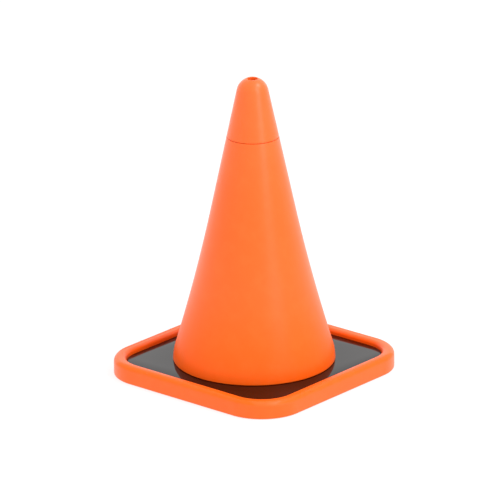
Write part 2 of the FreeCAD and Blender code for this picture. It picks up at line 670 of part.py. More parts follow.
def check_shape(body):
    shape = body.Shape
    if shape.isNull() or not shape.isValid() or len(shape.Solids) != 1:
        raise RuntimeError(f"{body.Label} isn't one valid solid")


def main():
    bodies = [make_cone_body(), make_top_cap(), make_base_tray(), make_ballast_slab(),
              make_retaining_ring()]
    bodies += [make_screw(number) for number in range(1, SCREW_COUNT + 1)]
    bodies += [make_rubber_foot(number) for number in range(1, SIDES + 1)]
    doc.recompute()
    check_features(bodies)
    for body in bodies:
        check_shape(body)
    os.makedirs("parts", exist_ok=True)
    for body in bodies:
        body.Shape.exportStep(f"parts/{body.Label}.step")
        box = body.Shape.BoundBox
        print(f"{body.Label}: z {box.ZMin:.2f} to {box.ZMax:.2f}, reach {box.XMax:.2f},"
              f" volume {body.Shape.Volume / 1000:.2f} cm3")


main()
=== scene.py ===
import json
import math
from contextlib import contextmanager

import bmesh
import bpy
from bpy.props import FloatProperty, FloatVectorProperty, IntProperty, PointerProperty
from mathutils import Matrix, Vector


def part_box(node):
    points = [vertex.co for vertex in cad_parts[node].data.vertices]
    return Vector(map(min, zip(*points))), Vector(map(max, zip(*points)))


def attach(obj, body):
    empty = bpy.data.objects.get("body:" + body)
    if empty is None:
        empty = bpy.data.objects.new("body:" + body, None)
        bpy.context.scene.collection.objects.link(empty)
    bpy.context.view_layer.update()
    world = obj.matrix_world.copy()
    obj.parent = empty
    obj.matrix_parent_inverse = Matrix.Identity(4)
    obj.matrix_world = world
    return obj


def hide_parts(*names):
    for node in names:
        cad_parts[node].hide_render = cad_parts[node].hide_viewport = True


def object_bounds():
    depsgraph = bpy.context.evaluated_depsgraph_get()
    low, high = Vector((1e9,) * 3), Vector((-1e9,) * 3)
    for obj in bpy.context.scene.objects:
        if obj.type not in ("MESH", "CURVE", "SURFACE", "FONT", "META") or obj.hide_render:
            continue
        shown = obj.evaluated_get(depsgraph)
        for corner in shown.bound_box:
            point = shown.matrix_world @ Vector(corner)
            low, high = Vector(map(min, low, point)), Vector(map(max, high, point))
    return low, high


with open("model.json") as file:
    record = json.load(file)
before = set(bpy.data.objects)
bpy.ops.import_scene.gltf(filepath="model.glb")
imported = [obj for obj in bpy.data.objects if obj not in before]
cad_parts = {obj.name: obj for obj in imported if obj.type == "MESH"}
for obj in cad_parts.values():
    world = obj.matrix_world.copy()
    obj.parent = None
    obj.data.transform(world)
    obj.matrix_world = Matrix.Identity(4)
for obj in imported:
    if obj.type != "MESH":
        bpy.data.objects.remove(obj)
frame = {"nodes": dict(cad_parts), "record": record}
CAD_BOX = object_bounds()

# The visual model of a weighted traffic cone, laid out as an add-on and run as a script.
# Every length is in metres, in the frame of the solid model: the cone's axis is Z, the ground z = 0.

bl_info = {
    "name": "Weighted traffic cone",
    "version": (1, 0, 0),
    "blender": (4, 5, 0),
    "location": "3D View > Sidebar > Traffic cone",
    "description": "Builds a weighted traffic cone with a lift-off cap, piece by piece",
    "category": "Add Mesh",
}

MM = 0.001
SCREWS = sorted(name for name in frame["nodes"] if name.startswith("screw_"))
FEET = sorted(name for name in frame["nodes"] if name.startswith("foot_"))
MOUNTS = {mount["name"]: mount for mount in frame["record"]["mounts"]}


def low(node):
    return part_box(node)[0]


def high(node):
    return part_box(node)[1]


def levels(node):
    return low(node).z, high(node).z


def places(nodes):
    """Where the middles of some nodes are, seen from above."""
    return [tuple((low(node) + high(node)).xy / 2) for node in nodes]


# ---- Sizes and colours that a user would change ----


def length(name, description, default):
    return FloatProperty(name=name, description=description, default=default, min=0.0,
                         precision=5, unit="LENGTH", subtype="DISTANCE")


def angle(name, description, default):
    return FloatProperty(name=name, description=description, default=math.radians(default),
                         unit="ROTATION", subtype="ANGLE")


def colour(name, description, default):
    return FloatVectorProperty(name=name, description=description, default=default, size=3,
                               min=0.0, max=1.0, subtype="COLOR")


def factor(name, description, default, top=1.0):
    return FloatProperty(name=name, description=description, default=default, min=0.0, max=top)


def power(name, description, default):
    return FloatProperty(name=name, description=description, default=default, unit="POWER")


class ConeSizes(bpy.types.PropertyGroup):
    """Sizes of the hollow cone and of its cap."""
    wall_half_angle: angle("Wall angle", "Half-angle of the straight upper wall", 12.1)
    flare_height: length("Flare height", "Height below which the wall flares", 0.170)
    flare_radius: length("Flare radius", "Radius of the flared wall, in section", 1.800)
    wall: length("Wall", "Thickness of the cone's wall", 2.4 * MM)
    bow_height: length("Bow height", "Height below which the wall's foot bows inwards", 28 * MM)
    bow_radius: length("Bow radius", "Radius of that bow, in section", 60 * MM)
    foot_round: length("Foot edge", "Rounding of the foot's lower edge", 1.0 * MM)
    flange_round: length("Flange corner", "Rounding inside, over the foot's flange", 2.0 * MM)
    dome_radius: length("Dome radius", "Outside radius of the cap's dome", 16 * MM)
    cap_wall: length("Cap wall", "Thickness of the cap's wall", 2.2 * MM)
    seam_gap: length("Seam gap", "Gap under the cap's edge", 0.5 * MM)
    seam_round: length("Seam rounding", "Rounding of both edges at the seam", 0.3 * MM)
    neck_wall: length("Neck wall", "Thickness of the neck inside the cap", 2.0 * MM)
    neck_clearance: length("Neck clearance", "Gap between neck and cap", 0.3 * MM)
    neck_blend: length("Neck blend", "Height of the step in the wall under the neck", 7 * MM)
    collar_wall: length("Collar wall", "Thickness of the collar under the foot", 2.2 * MM)
    collar_gap: length("Collar gap", "Gap round the collar", 0.3 * MM)
    hole_tube_wall: length("Hole tube wall", "Wall of the tube inside the cap's hole", 2.5 * MM)
    hole_tube: length("Hole tube", "Length of that tube", 5.0 * MM)
    hole_round: length("Hole rim", "Rounding of the hole's rim", 0.8 * MM)
    boss_radius: length("Boss radius", "Outside radius of a screw boss", 3.2 * MM)
    boss_height: length("Boss height", "Height of a screw boss", 6.0 * MM)
    steps: IntProperty(name="Steps", description="Faces round the cone", default=192, min=24)


class TraySizes(bpy.types.PropertyGroup):
    """Sizes of the tray, the slab and the ring."""
    corner_radius: length("Corner radius", "Radius of the tray's corners, in plan", 45 * MM)
    rim_width: length("Rim width", "Width of the raised rim", 12.5 * MM)
    wall: length("Wall", "Thickness of the rim's walls", 2.4 * MM)
    floor: length("Floor", "Thickness of the tray's floor", 2.0 * MM)
    rim_outer_round: length("Outer rounding", "Rounding of the rim's outer edge", 5.0 * MM)
    rim_inner_round: length("Inner rounding", "Rounding of the rim's inner edge", 4.0 * MM)
    rim_lower_round: length("Lower rounding", "Rounding of the rim's lower edge", 1.0 * MM)
    slab_edge_round: length("Slab edge", "Rounding of the slab's upper edge", 0.8 * MM)
    rib_thickness: length("Rib thickness", "Thickness of the ribs underneath", 1.6 * MM)
    rib_depth: length("Rib depth", "Depth of the ribs underneath", 1.8 * MM)
    rib_spacing: length("Rib spacing", "Distance between the ribs of one side", 45 * MM)
    rib_ring_gap: length("Rib gap", "Gap between the ribs and the ring", 1.5 * MM)
    web_recess: length("Web recess", "Underside of the rim up to its webs", 1.5 * MM)
    seat_wall: length("Seat wall", "Wall of the low ring round a rubber foot", 1.5 * MM)
    seat_gap: length("Seat gap", "Gap between that ring and the foot", 0.3 * MM)
    corner_steps: IntProperty(name="Corner steps", description="Faces in a corner", default=28,
                              min=4)


class FastenerSizes(bpy.types.PropertyGroup):
    """Sizes of the screws and of the rubber feet."""
    screw_hole: length("Screw hole", "Radius of a screw's clearance hole", 1.8 * MM)
    shank_radius: length("Shank radius", "Outside radius of a screw's thread", 1.45 * MM)
    core_radius: length("Core radius", "Radius of a screw under its thread", 1.08 * MM)
    thread_pitch: length("Thread pitch", "Distance between turns of the thread", 1.1 * MM)
    head_radius: length("Head radius", "Radius of a screw's head", 2.75 * MM)
    plug_radius: length("Plug radius", "Radius of a rubber foot's plug", 2.9 * MM)
    barb_radius: length("Barb radius", "Radius of the barb on the plug", 3.9 * MM)
    plug_gap: length("Plug gap", "Gap round the plug in the tray's floor", 0.1 * MM)
    barb_height: length("Barb height", "Height of the barb", 1.6 * MM)
    barb_gap: length("Barb gap", "Gap round and over the barb in the slab", 0.5 * MM)
    head_gap: length("Head gap", "Gap beside a screw's head", 0.07 * MM)
    thread_bite: length("Thread bite", "How far a thread cuts into its boss", 0.1 * MM)
    recess_width: length("Recess width", "Width of an arm of the cross recess", 0.9 * MM)
    recess_span: length("Recess span", "Length of the cross recess", 3.2 * MM)
    recess_depth: length("Recess depth", "Depth of the cross recess", 0.9 * MM)


class Finishes(bpy.types.PropertyGroup):
    """Colours and gloss of the materials."""
    orange: colour("Orange", "Colour of the cone's plastic", (1.0, 0.121, 0.003))
    tray_orange: colour("Tray orange", "Colour of the tray's plastic", (0.97, 0.122, 0.003))
    slab: colour("Slab", "Colour of the ballast slab", (0.001, 0.001, 0.001))
    rubber: colour("Rubber", "Colour of the rubber feet", (0.018, 0.018, 0.018))
    orange_roughness: factor("Orange roughness", "Roughness of the orange plastic", 0.42)
    orange_shine: factor("Orange shine", "Mirror reflection of the orange plastic", 0.15)
    slab_roughness: factor("Slab roughness", "Roughness of the slab's surface", 0.04)
    slab_shine: factor("Slab shine", "Mirror reflection of the slab's surface", 0.31)
    slab_cast: colour("Slab cast", "Tint of the slab's mirror reflection", (1.0, 0.84, 0.80))
    wear: factor("Wear", "How much the edges and the foot are scuffed", 0.35)


class StageSettings(bpy.types.PropertyGroup):
    """The camera, the floor and the light."""
    azimuth: angle("Camera azimuth", "Direction that the camera looks from", 40.52)
    elevation: angle("Camera elevation", "Height of the camera, as an angle", 19.54)
    roll: angle("Camera roll", "Turn of the camera about its line of sight", 0.40)
    distance: length("Camera distance", "From the camera to the cone's foot", 5.375)
    lens: FloatProperty(name="Lens", description="Focal length", default=387.0, unit="CAMERA")
    aim_side: FloatProperty(name="Aim aside", description="Aim point, to the camera's left",
                            default=4.37 * MM, unit="LENGTH")
    aim_up: length("Aim height", "Aim point, above the foot in the camera's plane", 119.08 * MM)
    floor_size: length("Floor size", "Side of the floor", 40.0)
    sky: factor("Sky", "Brightness of the white surroundings", 1.22, 10.0)
    key: power("Key", "Power of the tall soft light", 7.0)
    top_light: power("Top light", "Power of the small soft light", 5.0)


# ---- Shader helpers ----


class Wire:
    """A value in a material that takes part in sums, so that a mask reads as a formula."""

    def __init__(self, finish, socket):
        self.finish = finish
        self.socket = socket

    def math(self, operation, *values, clamp=False):
        inputs = dict(enumerate(values))
        return self.finish.node("ShaderNodeMath", {"operation": operation, "use_clamp": clamp},
                                inputs)["Value"]

    def __add__(self, other):
        return self.math("ADD", self, other)

    __radd__ = __add__

    def __sub__(self, other):
        return self.math("SUBTRACT", self, other)

    def __mul__(self, other):
        return self.math("MULTIPLY", self, other)

    def clamped(self):
        return self.math("ADD", self, 0.0, clamp=True)

    def distance_to(self, value):
        return self.math("ABSOLUTE", self - value)

    def step(self, start, end):
        """0 where the value is at start, 1 where it is at end, and smooth between them."""
        settings = {"interpolation_type": "SMOOTHSTEP"}
        inputs = {"Value": self, "From Min": start, "From Max": end, "To Min": 0.0, "To Max": 1.0}
        return self.finish.node("ShaderNodeMapRange", settings, inputs)["Result"]


class Finish:
    """A material, with one method that makes each of its nodes."""

    def __init__(self, name):
        self.material = bpy.data.materials.new(name)
        self.material.use_nodes = True
        self.tree = self.material.node_tree
        self.tree.nodes.clear()
        place = self.node("ShaderNodeTexCoord")["Object"]
        self.place = place
        parts = self.node("ShaderNodeSeparateXYZ", {}, {"Vector": place})
        self.x = parts["X"]
        self.y = parts["Y"]
        self.z = parts["Z"]

    def node(self, kind, settings=None, inputs=None):
        """Makes a node from its settings and its inputs, and returns its outputs by name."""
        made = self.tree.nodes.new(kind)
        for key, value in (settings or {}).items():
            setattr(made, key, value)
        for key, value in (inputs or {}).items():
            self.fill(made.inputs[key] if isinstance(key, int) else next(
                s for s in made.inputs if s.name == key and s.enabled), value)
        return {s.name: Wire(self, s) for s in made.outputs if s.enabled}

    def fill(self, socket, value):
        """Gives a socket its wire or its constant."""
        if isinstance(value, Wire):
            self.tree.links.new(value.socket, socket)
        elif socket.type == "RGBA" and len(value) == 3:
            socket.default_value = (*value, 1.0)
        else:
            socket.default_value = value

    def noise(self, scale, detail=3.0, roughness=0.5, stretch=None):
        """Noise between 0 and 1. The scale is in lumps a metre, and stretch is per axis."""
        place = self.place
        if stretch is not None:
            place = self.node("ShaderNodeMapping", {}, {"Vector": place, "Scale": stretch})["Vector"]
        inputs = {"Vector": place, "Scale": scale, "Detail": detail, "Roughness": roughness}
        return self.node("ShaderNodeTexNoise", {}, inputs)["Fac"]

    def mix(self, share, first, second):
        """A colour between two colours."""
        inputs = {"Factor": share, "A": first, "B": second}
        return self.node("ShaderNodeMix", {"data_type": "RGBA"}, inputs)["Result"]

    def bump(self, height, distance, strength=1.0, before=None):
        inputs = {"Height": height, "Distance": distance, "Strength": strength}
        if before is not None:
            inputs["Normal"] = before
        return self.node("ShaderNodeBump", {}, inputs)["Normal"]

    def done(self, **inputs):
        """Ends the material in one shader. Inputs are named as its sockets, in lower case."""
        shader = self.tree.nodes.new("ShaderNodeBsdfPrincipled")
        sockets = {s.name.lower().replace(" ", "_"): s for s in shader.inputs}
        for key, value in inputs.items():
            self.fill(sockets[key], value)
        output = self.tree.nodes.new("ShaderNodeOutputMaterial")
        self.tree.links.new(shader.outputs["BSDF"], output.inputs["Surface"])
        return self.material


# ---- The materials ----


def orange_plastic(finish, base, looks, gloss, scuff):
    """Satin moulded plastic. gloss and scuff say where it shines and where it is rubbed."""
    cloud = finish.noise(9.0, 2.0)
    mottle = finish.noise(70.0, 4.0, 0.6)
    shade = finish.mix(cloud, tuple(c * 0.965 for c in base), base)
    pale = (base[0], base[1] * 1.35 + 0.03, base[2] + 0.03)
    streak = finish.noise(110.0, 3.0, 0.6, (1.0, 1.0, 0.06))
    drawn = finish.mix((streak * 0.5).clamped(), shade, tuple(c * 0.90 for c in base))
    tone = finish.mix(((mottle - 0.45) * 0.4).clamped(), drawn, pale)
    scratches = finish.noise(260.0, 2.0, 0.7, (1.0, 1.0, 0.12)).step(0.60, 0.74)
    rubbed = (scuff * finish.noise(120.0, 5.0, 0.65).step(0.42, 0.72)).clamped()
    dust = (0.45, 0.16, 0.06)
    worn = finish.mix((rubbed * (0.22 * looks.wear)).clamped(), tone, dust)
    coarse = looks.orange_roughness - 0.04 + mottle * 0.08 + scratches * 0.04
    grain = finish.noise(1500.0, 2.0, 0.5)
    wave = finish.noise(14.0, 1.0, 0.4)
    waved = finish.bump(wave, 0.6 * MM, 0.35)
    normal = finish.bump(grain + scratches * 0.3 - rubbed * 0.4, 0.03 * MM, 0.5, waved)
    return finish.done(base_color=worn, roughness=(coarse + rubbed * (0.25 * looks.wear)).clamped(),
                       normal=normal, ior=1.47, specular_ior_level=looks.orange_shine,
                       coat_weight=gloss.clamped(), coat_roughness=0.36, coat_ior=1.45)


def cone_plastic(name, looks):
    finish = Finish(name)
    scuff = finish.z.step(0.060, 0.012) * 0.9 + finish.z.step(0.292, 0.304) * 0.5
    gloss = finish.z.step(0.016, 0.110) * 0.55 + finish.z.step(0.150, 0.300) * 0.40 + 0.05
    return orange_plastic(finish, looks.orange, looks, gloss, scuff)


def tray_plastic(name, looks):
    finish = Finish(name)
    half = high("base_tray").x
    reach = finish.x.math("MAXIMUM", finish.x.distance_to(0.0), finish.y.distance_to(0.0))
    scuff = reach.step(half - 6 * MM, half) * 0.7 + finish.z.step(6 * MM, 1 * MM) * 0.6
    side = finish.z.step(16.5 * MM, 13.5 * MM)
    crest = reach.step(half - 5 * MM, half - 8 * MM)
    gloss = side.math("MAXIMUM", side, crest) * 0.5 + 0.08
    return orange_plastic(finish, looks.tray_orange, looks, gloss, scuff)


def slab_plastic(name, looks):
    """Glossy black, with faint swirls from wiping and a little dust."""
    finish = Finish(name)
    swirl = finish.noise(26.0, 4.0, 0.55, (1.0, 2.2, 1.0))
    dust = finish.noise(900.0, 2.0, 0.6).step(0.68, 0.82)
    hair = finish.noise(340.0, 2.0, 0.7, (0.08, 1.0, 1.0)).step(0.64, 0.78)
    share = (dust * 0.05 + swirl * 0.05).clamped()
    tone = finish.mix(share, looks.slab, (0.022, 0.018, 0.015))
    rough = looks.slab_roughness + swirl * 0.03 + dust * 0.12 + hair * 0.04
    waved = finish.bump(finish.noise(16.0, 1.0, 0.4), 0.5 * MM, 0.05)
    normal = finish.bump(hair * -1.0, 0.01 * MM, 0.25, waved)
    return finish.done(base_color=tone, roughness=rough.clamped(), normal=normal, ior=1.45,
                       specular_ior_level=looks.slab_shine, specular_tint=looks.slab_cast)


def ring_plastic(name, looks):
    """Matt black moulded plastic, with a fine spark-eroded grain."""
    finish = Finish(name)
    grain = finish.noise(1400.0, 3.0, 0.6)
    cloud = finish.noise(30.0, 3.0)
    tone = finish.mix(cloud, (0.016, 0.016, 0.017), (0.030, 0.029, 0.028))
    normal = finish.bump(grain, 0.05 * MM, 0.6)
    return finish.done(base_color=tone, roughness=(grain * 0.12 + 0.5).clamped(), normal=normal,
                       ior=1.5)


def screw_steel(name, looks):
    """Zinc-plated steel with drawn marks and a faint yellow cast in random patches."""
    finish = Finish(name)
    lines = finish.noise(2600.0, 2.0, 0.6, (1.0, 1.0, 0.15))
    cloud = finish.noise(600.0, 3.0)
    tone = finish.mix(cloud, (0.62, 0.60, 0.55), (0.72, 0.73, 0.75))
    normal = finish.bump(lines, 0.02 * MM, 0.4)
    return finish.done(base_color=tone, roughness=(lines * 0.18 + 0.22).clamped(), metallic=1.0,
                       normal=normal)


def foot_rubber(name, looks):
    """Matt black rubber, paler with ground-in dust at its lower face."""
    finish = Finish(name)
    grain = finish.noise(1100.0, 4.0, 0.6)
    dusty = finish.z.step(1.2 * MM, 0.0) * finish.noise(300.0, 3.0).step(0.35, 0.7)
    tone = finish.mix((dusty * looks.wear).clamped(), looks.rubber, (0.16, 0.14, 0.12))
    normal = finish.bump(grain, 0.08 * MM, 0.5)
    return finish.done(base_color=tone, roughness=(grain * 0.15 + 0.68).clamped(), normal=normal,
                       ior=1.5)


SLOT_FINISHES = {
    "cone_orange": ("satin_orange_cone", cone_plastic),
    "tray_orange": ("satin_orange_tray", tray_plastic),
    "slab_black": ("gloss_black_slab", slab_plastic),
    "ring_black": ("grained_black_ring", ring_plastic),
    "screw_zinc": ("bright_zinc", screw_steel),
    "foot_rubber": ("matt_black_rubber", foot_rubber),
}


def studio_floor():
    """Pale and plain, so bright that only the contact shadow shows."""
    finish = Finish("studio_floor")
    grain = finish.noise(3.0, 2.0)
    tone = finish.mix(grain, (0.22, 0.22, 0.22), (0.23, 0.23, 0.23))
    return finish.done(base_color=tone, roughness=0.9, emission_color=(1.0, 1.0, 1.0),
                       emission_strength=0.76, specular_ior_level=0.1)


# ---- Modelling helpers ----

TOUCH = 0.02 * MM
SOFT_EDGE = 0.3 * MM
FINE_EDGE = 0.2 * MM
COLLAR_STEPS = 192
SMOOTH_ANGLE = math.radians(32)


def choose(*pieces):
    """Selects just these pieces, and makes the first of them the active one."""
    bpy.ops.object.select_all(action="DESELECT")
    for piece in pieces:
        piece.select_set(True)
    if pieces:
        bpy.context.view_layer.objects.active = pieces[0]


def name_piece(piece, name):
    piece.name = name
    piece.data.name = name
    return piece


def settle(piece):
    """Applies a piece's place, so that its object sits at the origin and its mesh where it is."""
    choose(piece)
    bpy.ops.object.transform_apply(location=True, rotation=True, scale=True)
    return piece


def fresh(add, name, **settings):
    """Adds a primitive, with nothing else selected, names it and applies its place."""
    choose()
    add(**settings)
    return settle(name_piece(bpy.context.object, name))


@contextmanager
def editing(piece, mode="VERT"):
    """Edit mode on one piece, with nothing selected to begin with."""
    choose(piece)
    bpy.ops.object.mode_set(mode="EDIT")
    bpy.ops.mesh.select_mode(type=mode)
    bpy.ops.mesh.select_all(action="DESELECT")
    yield
    bpy.ops.object.mode_set(mode="OBJECT")


def to_all(operator, **settings):
    """In edit mode, uses an operator on the whole mesh."""
    bpy.ops.mesh.select_all(action="SELECT")
    operator(**settings)


def pick(piece, kind, wanted):
    """In edit mode, selects just the faces, edges or verts that pass a test."""
    bpy.ops.mesh.select_mode(type={"faces": "FACE", "edges": "EDGE", "verts": "VERT"}[kind])
    bpy.ops.mesh.select_all(action="DESELECT")
    mesh = bmesh.from_edit_mesh(piece.data)
    found = [element for element in getattr(mesh, kind) if wanted(element)]
    if not found:
        raise RuntimeError(f"no {kind} of {piece.name} pass the test")
    for element in found:
        element.select_set(True)
    bmesh.update_edit_mesh(piece.data)


def extrude(move):
    """In edit mode, draws the selection out."""
    bpy.ops.mesh.extrude_region_move(TRANSFORM_OT_translate={"value": move})


def round_off(piece, wanted, radius, segments):
    """In edit mode, rounds the edges that pass a test."""
    pick(piece, "edges", wanted)
    bpy.ops.mesh.bevel(offset=radius, segments=segments, profile=0.5, clamp_overlap=False)


def corner_arc(before, corner, after, radius, steps):
    """The points of an arc that rounds one corner of an outline."""
    inward = (before - corner).normalized()
    outward = (after - corner).normalized()
    half = inward.angle(outward) / 2
    reach = radius / math.tan(half)
    centre = corner + (inward + outward).normalized() * (radius / math.sin(half))
    start = corner + inward * reach - centre
    sweep = math.pi - 2 * half
    turn = sweep if inward.x * outward.y - inward.y * outward.x < 0 else -sweep
    return [centre + Matrix.Rotation(turn * step / steps, 2) @ start for step in range(steps + 1)]


def rounded(corners, steps=5):
    """An outline with its corners rounded. A corner is (radius, height) or has a rounding third."""
    places = [Vector(corner[:2]) for corner in corners]
    points = []
    for index, corner in enumerate(corners):
        if len(corner) == 2 or corner[2] == 0.0:
            points.append(places[index])
            continue
        after = places[(index + 1) % len(places)]
        points.extend(corner_arc(places[index - 1], places[index], after, corner[2], steps))
    return points


def turned(name, outline, steps, centre=(0.0, 0.0)):
    """A closed outline, drawn by extruding one vertex, and then spun round an upright axis."""
    first = outline[0]
    start = (centre[0] + first.x, centre[1], first.y)
    piece = fresh(bpy.ops.mesh.primitive_plane_add, name, size=MM, location=start)
    on_axis = [max(point.x, 0.0) < TOUCH for point in outline]
    closed = not (on_axis[0] and on_axis[-1])
    path = outline[1:] + ([first] if closed else [])
    with editing(piece):
        to_all(bpy.ops.mesh.merge, type="CENTER")
        here = first
        for point in path:
            extrude((point.x - here.x, 0.0, point.y - here.y))
            here = point
        to_all(bpy.ops.mesh.remove_doubles, threshold=TOUCH / 10)
        to_all(bpy.ops.mesh.spin, steps=steps, angle=2 * math.pi, center=(*centre, 0.0),
               axis=(0, 0, 1))
        to_all(bpy.ops.mesh.remove_doubles, threshold=TOUCH / 10)
        to_all(bpy.ops.mesh.normals_make_consistent, inside=False)
    return piece


def join(pieces, name):
    """Joins pieces into one, which keeps the first one's place."""
    choose(*pieces)
    bpy.ops.object.join()
    return name_piece(pieces[0], name)


def combine(piece, tool, operation):
    """Cuts a tool from a piece, or adds it, and removes the tool."""
    choose(piece)
    change = piece.modifiers.new(operation.lower(), "BOOLEAN")
    change.operation = operation
    change.solver = "EXACT"
    change.object = tool
    bpy.ops.object.modifier_apply(modifier=change.name)
    bpy.data.objects.remove(tool)
    if not piece.data.polygons:
        raise RuntimeError(f"nothing is left of {piece.name}")


def rods(radius, bottom, top, spots, vertices=32):
    """Upright cylinders, one at each place, as tools for cutting or adding."""
    return [fresh(bpy.ops.mesh.primitive_cylinder_add, "rod", radius=radius, depth=top - bottom,
                  vertices=vertices, location=(*spot, (bottom + top) / 2)) for spot in spots]


def block(name, lowest, highest, turn=0.0):
    """An upright block between two corners, turned about the cone's axis."""
    lowest = Vector(lowest)
    highest = Vector(highest)
    piece = fresh(bpy.ops.mesh.primitive_cube_add, name, size=1.0)
    piece.scale = highest - lowest
    piece.location = (lowest + highest) / 2
    settle(piece)
    piece.rotation_euler = (0.0, 0.0, turn)
    return settle(piece)


def hand_over(piece, node, body, slot):
    """Finishes a piece: its shading, its material, and the solid and body that it goes with."""
    name, make = SLOT_FINISHES[slot]
    choose(piece)
    bpy.ops.object.shade_smooth_by_angle(angle=SMOOTH_ANGLE)
    piece.data.materials.clear()
    made = bpy.data.materials.get(name) or make(name, bpy.context.scene.cone_finishes)
    piece.data.materials.append(made)
    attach(piece, body)
    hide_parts(node)


def set_out(pattern, nodes, name, slot):
    """Copies a pattern from the cone's axis to the place of each node, turned to face outwards."""
    pieces = [pattern]
    for _ in nodes[1:]:
        choose(pattern)
        bpy.ops.object.duplicate(linked=False)
        pieces.append(bpy.context.object)
    for piece, node, place in zip(pieces, nodes, places(nodes)):
        name_piece(piece, f"{name}_{node.rsplit('_', 1)[1]}")
        piece.rotation_euler = (0.0, 0.0, math.atan2(place[1], place[0]))
        piece.location = (*place, 0.0)
        settle(piece)
        hand_over(piece, node, "base", slot)


def context_fasteners():
    return bpy.context.scene.cone_fasteners


def collar_hole():
    """Radius of the hole for the cone's collar in slab, tray and ring."""
    sizes = bpy.context.scene.cone_sizes
    return MOUNTS["nesting_bore"]["dims"]["r_mm"] * MM + sizes.collar_wall + sizes.collar_gap


def shared_holes(bottom, top):
    """Tools for the holes that tray and slab share: the collar's and the screws'."""
    return (rods(collar_hole(), bottom, top, [(0, 0)], COLLAR_STEPS)
            + rods(context_fasteners().screw_hole, bottom, top, places(SCREWS)))


# ---- The cone's profile ----


class Profile:
    """Radii and heights of the cone's wall and dome, worked out from a few sizes."""

    def __init__(self, sizes):
        self.sizes = sizes
        self.slope = math.tan(sizes.wall_half_angle)
        self.lean = math.cos(sizes.wall_half_angle)
        self.hole = MOUNTS["apex_bore"]["dims"]["r_mm"] * MM
        sphere = sizes.dome_radius - sizes.hole_round
        self.dome_centre = (high("top_cap").z - sizes.hole_round
                            - math.sqrt(sphere ** 2 - (self.hole + sizes.hole_round) ** 2))
        rise = math.sin(sizes.wall_half_angle)
        self.tangent_height = self.dome_centre + sizes.dome_radius * rise
        self.tangent_radius = sizes.dome_radius * self.lean
        self.flare_centre_height = sizes.flare_height + sizes.flare_radius * rise
        self.flare_centre_radius = (self.straight(sizes.flare_height)
                                    + sizes.flare_radius * self.lean)
        self.bow_sine = (self.flare_centre_height - sizes.bow_height) / sizes.flare_radius
        self.bow_centre_height = sizes.bow_height - sizes.bow_radius * self.bow_sine
        self.bow_centre_radius = (self.flared(sizes.bow_height)
                                  - sizes.bow_radius * math.sqrt(1 - self.bow_sine ** 2))

    def straight(self, height, depth=0.0):
        slant = (self.tangent_height - height) * self.slope
        return self.tangent_radius + slant - depth / self.lean

    def flared(self, height, depth=0.0):
        drop = self.flare_centre_height - height
        arc = self.sizes.flare_radius + depth
        return self.flare_centre_radius - math.sqrt(arc ** 2 - drop ** 2)

    def bowed(self, height, depth=0.0):
        rise = height - self.bow_centre_height
        arc = self.sizes.bow_radius - depth
        return self.bow_centre_radius + math.sqrt(arc ** 2 - rise ** 2)

    def wall(self, bottom, top, depth=0.0, steps=24):
        """Points up the wall's outer surface, or up its inner surface at a depth under it."""
        bend = self.sizes.flare_height - depth * math.sin(self.sizes.wall_half_angle)
        bow = self.sizes.bow_height - depth * self.bow_sine
        points = []
        for step in range(steps + 1):
            height = bottom + (top - bottom) * step / steps
            shape = self.straight if height > bend else self.flared
            shape = self.bowed if height <= bow else shape
            points.append((shape(height, depth), height))
        return points

    def whole_wall(self, bottom, top, depth=0.0):
        """The wall from the foot up, with its points closer together where it bows."""
        bow = self.sizes.bow_height - depth * self.bow_sine
        return self.wall(bottom, bow, depth, 8)[:-1] + self.wall(bow, top, depth)

    def dome(self, start, end, depth=0.0, steps=18):
        """Points on the dome between two angles above the horizontal."""
        radius = self.sizes.dome_radius - depth
        turns = [start + (end - start) * step / steps for step in range(steps + 1)]
        return [(radius * math.cos(turn), self.dome_centre + radius * math.sin(turn))
                for turn in turns]


# ---- The pieces, one operator each ----


